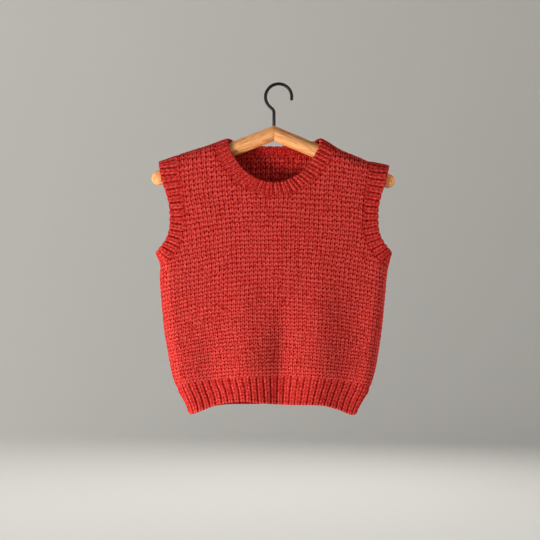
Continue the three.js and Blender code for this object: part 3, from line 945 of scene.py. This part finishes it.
def ribbed_band(name, ring, node, pitch, columns_a_rib, split, steps_per_rib):
    """A band of whole ribs round a ring, flat at its seam, with a ridge of yarn on its wrong side."""
    ribs = round(even_turns(ring, 1)[1] / pitch)
    columns = ribs * steps_per_rib
    turns = even_turns(ring, columns)[0]
    profile = band_profile(BAND_STEPS)
    made = flat_grid(columns, len(profile[0]))
    along, share, shift, lift, shown = section_on_grid(made, profile)
    rib = np.rint(along * columns).astype(int) / steps_per_rib
    rows = share * BAND_WIDE / RIB_ROW_HIGH
    wavy = rib + BAND_SWAY * wander(np.floor(rib + 0.5) + 0.5, rows * 0.5, 31)
    turn = np.interp(np.mod(wavy * steps_per_rib, columns), np.arange(columns + 1), turns) % 1.0
    wrong_side = shown == 0
    ridge = bump(share - RIDGE_AT, RIDGE_HALF)
    seam = 1 - 0.7 * smoothstep((share - 0.88) / 0.12)
    raised = rib_relief(rib_height(rib, rows, split), lift, shown, BAND_RAISE * seam)
    raised = raised - wrong_side * SEAM_RIDGE * ridge
    scallop = shift * (0.6 + 0.8 * rib_height(rib, rows, 0.0))
    points = on_ring(ring, turn, share, scallop, raised)
    kept = rolled_up(made, points)
    # Painted shade towards each band's seam and over its wrong side, with painted light on the wrong side's
    # ridge.
    seam_painted_light = 1 - 0.25 * smoothstep((share - 0.9) / 0.1)
    open_air = np.where(wrong_side, INSIDE_PAINTED_LIGHT + 0.3 * ridge, seam_painted_light)
    stitches = np.stack([rib * columns_a_rib, rows], axis=1)
    return rib_piece(name, made, points, stitches, open_air, kept, node)


neck_rib = ribbed_band("neck_rib", NECK, "neckband", **NECK_RIBS)
left_arm_rib = ribbed_band("left_arm_rib", LEFT_ARMHOLE, "armband_left", **ARM_RIBS)
right_arm_rib = ribbed_band("right_arm_rib", RIGHT_ARMHOLE, "armband_right", **ARM_RIBS)

# %% [markdown]
# The welt is the same rib, below the body. Its lower edge is cast on, which leaves a row of small firm
# loops, and it draws the vest in. It could be part of the panel's grid, but its ribs are wider than the
# body's stitches, so it is a grid of its own on the same cross-section.

# %% The welts
WELT_STEPS = 30
STEPS_PER_WELT_RIB = 12
WELT_SWAY = 0.08
WELT_SPLIT = 0.3
CAST_ON_RAISE = 0.6
BACK_HEM_SHOWS = 2.4


def welt_rib(name, side, node):
    """A welt of whole ribs from side to side, whose back hangs a little lower where the photo shows it."""
    flat = half_flat(np.array([-1.0]), np.array([WELT_TOP - WELT_DROOP]))[0]
    ribs = round(2 * flat / WELT_RIB_PITCH)
    profile = band_profile(WELT_STEPS)
    made = flat_grid(ribs * STEPS_PER_WELT_RIB, len(profile[0]))
    along, share, shift, lift, shown = section_on_grid(made, profile)
    rib = along * ribs
    rows = share * WELT_HIGH / RIB_ROW_HIGH
    calm = smoothstep(rib / 1.5) * smoothstep((ribs - rib) / 1.5)
    wavy = rib + calm * WELT_SWAY * wander(np.floor(rib + 0.5) + 0.5, rows * 0.3, 32)
    across = (2 * wavy / ribs - 1) * (1 - SIDE_TRIM / flat)
    cast_on = bump(share, 0.035) * (0.4 + 0.6 * bump(to_edge(rib * 2 + 0.5), 0.3))
    near_side = smoothstep((np.abs(across) - 0.86) / 0.12)
    seam = 1 - (0.75 + 0.25 * near_side) * smoothstep((share - 0.72) / 0.28)
    raised = rib_relief(rib_height(rib, rows, WELT_SPLIT), lift, shown, WELT_RAISE * seam)
    raised = raised + shown * CAST_ON_RAISE * cast_on
    points = on_welt(side, across, 1 - share - shift / WELT_HIGH, raised)
    if side == "back":
        points[:, 2] -= BACK_HEM_SHOWS * (1 - share) * bump(across + 0.3, 0.3)
    kept = rolled_up(made, points)
    # Painted light on the cast-on loops, painted shade in the furrows, and painted shadow over the wrong
    # side, which the front hem shades.
    furrow = 1 - smoothstep((to_edge(rib) - 0.02) / 0.14)
    open_air = 1 + 0.35 * cast_on - 0.12 * furrow * shown - 0.75 * (1 - shown)
    stitches = np.stack([rib, rows], axis=1)
    return rib_piece(name, made, points, stitches, open_air, kept, node)


front_welt = welt_rib("front_welt", "front", "hem_rib_front")
back_welt = welt_rib("back_welt", "back", "hem_rib_back")

# %% [markdown]
# Oak is open-grained: long dark pores run with the dowel, over slow bands of paler and darker wood. A Wave
# node gives rings that are too regular, so the grain is noise, stretched along each arm by a Mapping node
# that also turns it by the arm's slope.

# %% Oak
GRAIN_TILT = 0.12
OAK_STOPS = [(0.40, (0.66, 0.225, 0.062)), (0.5, (0.93, 0.375, 0.128)), (0.6, (1.0, 0.53, 0.215))]
PORE_STOPS = [(0.0, (0.5, 0.42, 0.36)), (0.38, (0.68, 0.6, 0.55)), (0.48, (1, 1, 1))]


def along_grain(finish, turned, long, fine, detail, tilt=0.0):
    """Noise that is stretched along the dowel, with long and fine lumps to the metre."""
    inputs = {"Vector": turned, "Rotation": (0, tilt, tilt), "Scale": (long, fine, fine)}
    return finish.noise(finish.node("Mapping", None, inputs), 1.0, detail, 0.6)


def oak(name, turn):
    finish = Finish(name)
    place = finish.node("TexCoord", output=3)
    turned = finish.node("Mapping", None, {"Vector": place, "Rotation": (0, turn, 0)})
    bands = along_grain(finish, turned, 14, 160, 3.0)
    streaks = along_grain(finish, turned, 75, 950, 2.0, GRAIN_TILT)
    pores = along_grain(finish, turned, 170, 2600, 2.0)
    fleck = finish.noise(turned, 260.0, 2.0)
    colour = finish.node("ValToRGB", {"stops": OAK_STOPS}, [bands * 0.4 + streaks * 0.6])
    dark = finish.node("ValToRGB", {"stops": PORE_STOPS}, [pores * 0.5 + streaks * 0.5])
    colour = finish.mix(0.75, colour, dark, "MULTIPLY")
    height = pores * 0.5 + streaks * 0.4 + fleck * 0.2
    normal = finish.node("Bump", None, {"Strength": 0.25, "Distance": 0.0004, "Height": height})
    finish.set(Base_Color=colour, Roughness=0.42 + (1 - pores) * 0.25, Normal=normal)
    finish.set(Specular_IOR_Level=0.4)
    return finish.material


print("oak's lightest colour", OAK_STOPS[-1][1])

# %% [markdown]
# Each arm is turned from one dowel, with a domed end, and the two meet in a mitre. A cylinder with half a
# ball on it would leave a seam, so one line is spun round the dowel's axis, and a plane cuts the mitre.

# %% The dowels
ROUND_STEPS = 64
DOME_STEPS = 12
ARM_STEPS = 8
MITRE_GAP = 0.12
MITRE_BEVEL = 0.35


def spun_profile(made, profile, axis, merge_within):
    """Spins a line of points all the way round, and merges it where it meets itself."""
    verts = [made.verts.new(point) for point in profile]
    edges = [made.edges.new(pair) for pair in zip(verts[:-1], verts[1:])]
    centre = (0, 0, 0)
    whole = verts + edges
    turn = 2 * np.pi
    bmesh.ops.spin(made, geom=whole, cent=centre, axis=axis, angle=turn, steps=ROUND_STEPS, use_merge=True)
    bmesh.ops.remove_doubles(made, verts=made.verts[:], dist=merge_within)


def plain_piece(name, made, points, material, node):
    """A piece without stitches."""
    count = len(points)
    piece = finished_piece(name, made, points, np.zeros((count, 2)), np.zeros(count), material)
    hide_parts(node)
    return piece


def dowel(name, half, sign, node):
    """An arm with a domed end, turned and moved to its place and cut at the middle."""
    end_out, end_up = ARM_END[half]
    length = math.hypot(end_out, MITRE_UP - end_up)
    slope = math.atan((MITRE_UP - end_up) / end_out)
    dome = np.linspace(0, np.pi / 2, DOME_STEPS + 1)
    arc = [(length + DOWEL_RADIUS * math.cos(a), 0, DOWEL_RADIUS * math.sin(a)) for a in dome]
    arm = [(length * k / ARM_STEPS, 0, DOWEL_RADIUS) for k in range(ARM_STEPS - 1, -2, -1)]
    made = bmesh.new()
    spun_profile(made, arc + arm, (1, 0, 0), 0.001)
    turn = Matrix.Rotation(slope, 4, "Y")
    flip = Matrix.Scale(sign, 4, (1, 0, 0))
    move = Matrix.Translation((MIDDLE, 0, MITRE_UP))
    bmesh.ops.transform(made, matrix=move @ flip @ turn, verts=made.verts[:])
    cut_at = (MIDDLE + sign * MITRE_GAP, 0, MITRE_UP)
    whole = made.verts[:] + made.edges[:] + made.faces[:]
    bmesh.ops.bisect_plane(made, geom=whole, plane_co=cut_at, plane_no=(-sign, 0, 0), clear_outer=True)
    rim = [edge for edge in made.edges if edge.is_boundary]
    mitre = bmesh.ops.holes_fill(made, edges=rim, sides=0)["faces"]
    around = [edge for face in mitre for edge in face.edges]
    bmesh.ops.bevel(
        made, geom=around, offset=MITRE_BEVEL, segments=2, profile=0.5, affect="EDGES", material=-1
    )
    face_outward(made)
    finish = oak(f"oak {half}", -sign * slope)
    return plain_piece(name, made, corners_of(made), finish, node)


dowel("left_dowel", "left", -1, "hanger_arm_left")
dowel("right_dowel", "right", 1, "hanger_arm_right")

# %% [markdown]
# The hook is one wire. A curve with a round bevel would do, but its ends would be flat. So its round section
# is spun round the loop, pushed straight, spun back through the bend and pushed down into the wood, the way
# a wire bender forms it, and the tip is a small dome. Its black coat is satin, a little worn in patches.


# %% Black steel
def black_steel():
    finish = Finish("black steel")
    place = finish.node("TexCoord", output=3)
    worn = finish.noise(place, 90.0, 4.0)
    fine = finish.noise(place, 1600.0, 2.0)
    colour = finish.mix(worn, (0.003, 0.0026, 0.0026), (0.011, 0.0095, 0.009))
    normal = finish.node("Bump", None, {"Strength": 0.12, "Distance": 0.0002, "Height": fine})
    finish.set(Base_Color=colour, Roughness=0.3 + worn * 0.2, Normal=normal)
    finish.set(Specular_IOR_Level=0.3)
    return finish.material


# %% The wire's steps
WIRE_SIDES = 20
TIP_RINGS = 5
TIP_FLAT = 0.35
LOOP_STEPS = 72
BEND_STEPS = 14
FOOT_SHORT = 0.8


def wire_end(made, ends):
    """The edges that join the wire's last points into a ring."""
    ring = set(ends)
    return [edge for edge in made.edges if ring.issuperset(edge.verts)]


def points_in(geometry):
    return [item for item in geometry if isinstance(item, bmesh.types.BMVert)]


def bent(made, ends, centre, axis, angle, steps):
    rim = wire_end(made, ends)
    spun = bmesh.ops.spin(made, geom=rim, cent=centre, axis=axis, angle=angle, steps=steps)
    return points_in(spun["geom_last"])


def pushed(made, ends, by):
    longer = bmesh.ops.extrude_edge_only(made, edges=wire_end(made, ends))
    ends = points_in(longer["geom"])
    bmesh.ops.translate(made, verts=ends, vec=by)
    return ends


def on_circle(angle):
    return Vector((math.cos(angle), 0, math.sin(angle)))


def domed_tip(made, start):
    """Rings of the wire's tip, from its small flat end to its full thickness."""
    facing = Matrix.Rotation(math.pi / 2 - LOOP_FROM, 4, "Y") @ Matrix.Rotation(math.pi / 2, 4, "Y")
    backwards = Vector((math.sin(LOOP_FROM), 0, -math.cos(LOOP_FROM)))
    rings = []
    for k in range(TIP_RINGS, -1, -1):
        angle = math.pi / 2 * k / (TIP_RINGS + TIP_FLAT)
        place = Matrix.Translation(start + backwards * WIRE_RADIUS * math.sin(angle)) @ facing
        radius = WIRE_RADIUS * math.cos(angle)
        capped = k == TIP_RINGS
        circle = bmesh.ops.create_circle(
            made, segments=WIRE_SIDES, radius=radius, cap_ends=capped, matrix=place
        )
        rings.append(circle["verts"])
    for first, second in zip(rings[:-1], rings[1:]):
        bmesh.ops.bridge_loops(made, edges=wire_end(made, first) + wire_end(made, second))
    return rings[-1]


print("the loop goes round", round(math.degrees(LOOP_TO - LOOP_FROM)), "degrees")


# %% The hook
def hook():
    made = bmesh.new()
    centre = Vector((0, 0, WIRE_RADIUS - LOOP_RADIUS))
    ends = domed_tip(made, centre + on_circle(LOOP_FROM) * LOOP_RADIUS)
    ends = bent(made, ends, centre, (0, -1, 0), LOOP_TO - LOOP_FROM, LOOP_STEPS)
    heading = Vector((-math.sin(LOOP_TO), 0, math.cos(LOOP_TO)))
    inward = Vector((heading.z, 0, -heading.x))
    leave = centre + on_circle(LOOP_TO) * LOOP_RADIUS
    straight = (MIDDLE - leave.x - NECK_BEND_RADIUS * (1 + inward.x)) / heading.x
    ends = pushed(made, ends, heading * straight)
    bend_centre = leave + heading * straight + inward * NECK_BEND_RADIUS
    bend_angle = math.pi / 2 + math.atan2(heading.z, heading.x)
    ends = bent(made, ends, bend_centre, (0, 1, 0), bend_angle, BEND_STEPS)
    foot = MITRE_UP + DOWEL_RADIUS - STEM_DEPTH + FOOT_SHORT
    ends = pushed(made, ends, Vector((0, 0, foot - bend_centre.z)))
    bmesh.ops.contextual_create(made, geom=wire_end(made, ends))
    face_outward(made)
    return plain_piece("hook_wire", made, corners_of(made), black_steel(), "hanger_hook")


hook()

# %% [markdown]

# %% [markdown]
# The part hangs in a plain pale studio. The floor lies well below it and curves up into a wall all round, as
# a photographer's paper roll does, so no line crosses the background from any side. The key light is a soft
# disc, close and from the left, a little low, so that it rakes across the stitches and falls off to the
# right. The others are weaker on the part: they open its shadows and light the wall.

# %% The studio's floor and wall
FLOOR_UP = -0.75
FLAT_FLOOR = 1.2
COVE_RADIUS = 1.6
WALL_AWAY = 4.2
WALL_HIGH = 4.5


def studio_cove():
    made = bmesh.new()
    bend = [(math.sin(a), 1 - math.cos(a)) for a in np.linspace(0, np.pi / 2, 17)]
    curve = [(WALL_AWAY - COVE_RADIUS + COVE_RADIUS * x, COVE_RADIUS * z) for x, z in bend]
    line = [(0, 0), (FLAT_FLOOR, 0), *curve, (WALL_AWAY, WALL_HIGH)]
    spun_profile(made, [(away, 0, FLOOR_UP + up) for away, up in line], (0, 0, 1), 0.0001)
    mesh = bpy.data.meshes.new("studio_cove")
    made.to_mesh(mesh)
    made.free()
    mesh.shade_smooth()
    cove = bpy.data.objects.new("studio_cove", mesh)
    bpy.context.collection.objects.link(cove)
    finish = Finish("studio cove")
    finish.set(Base_Color=(0.66, 0.65, 0.625, 1), Roughness=0.95, Specular_IOR_Level=0.1)
    mesh.materials.append(finish.material)
    return cove


cove = studio_cove()
print("made", cove.name)


# %% The studio's lights
def soft_light(name, place, towards, size, power, colour):
    light = bpy.data.lights.new(name, "AREA")
    light.shape = "DISK"
    light.size = size
    light.energy = power
    light.color = colour
    lamp = bpy.data.objects.new(name, light)
    lamp.location = place
    lamp.rotation_euler = (Vector(towards) - Vector(place)).to_track_quat("-Z", "Y").to_euler()
    bpy.context.collection.objects.link(lamp)


MIDDLE_POINT = (MIDDLE * MM, 0, -0.23)
LIGHTS = {
    "key": ((-0.88, -0.62, -0.58), MIDDLE_POINT, 0.34, 13.3, (1.0, 0.97, 0.94)),
    "fill": ((1.2, -1.9, 0.3), MIDDLE_POINT, 1.5, 0.9, (0.96, 0.98, 1.0)),
    "right edge": ((1.45, 0.1, -0.02), MIDDLE_POINT, 0.6, 8, (0.97, 0.98, 1.0)),
    "back": ((0.3, 1.9, 0.6), MIDDLE_POINT, 1.3, 15, (1.0, 0.98, 0.96)),
    "wall wash": ((-1.6, 0.6, 1.6), (-0.4, 4.0, -0.2), 1.0, 60, (1.0, 0.99, 0.97)),
    "near wall wash": ((0.6, -2.6, 1.9), (0.2, -4.2, -0.1), 1.0, 32, (1.0, 0.99, 0.97)),
}
for name, settings in LIGHTS.items():
    soft_light(name, *settings)
world = bpy.data.worlds.new("studio")
world.use_nodes = True
background = world.node_tree.nodes["Background"]
background.inputs["Color"].default_value = (0.82, 0.82, 0.80, 1)
background.inputs["Strength"].default_value = 0.12
bpy.context.scene.world = world
bpy.context.scene.view_settings.view_transform = "Standard"
print(len(LIGHTS), "lights")

# %% [markdown]
# The camera stands level with the middle of the photograph, square to the front. The picture is square, so
# its height is set by the distance and the lens together: 667 mm at the vest.

# %% The camera
VIEW_HIGH = 0.6667
CAMERA_AWAY = 1.7
SENSOR = 36.0
camera_data = bpy.data.cameras.new("camera")
camera_data.sensor_width = SENSOR
camera_data.lens = SENSOR * CAMERA_AWAY / VIEW_HIGH
camera = bpy.data.objects.new("camera", camera_data)
camera.location = (-0.0107, -CAMERA_AWAY, -0.2278)
camera.rotation_euler = (math.pi / 2, 0, 0)
bpy.context.collection.objects.link(camera)
bpy.context.scene.camera = camera
print("the lens is", round(camera_data.lens, 1), "mm")
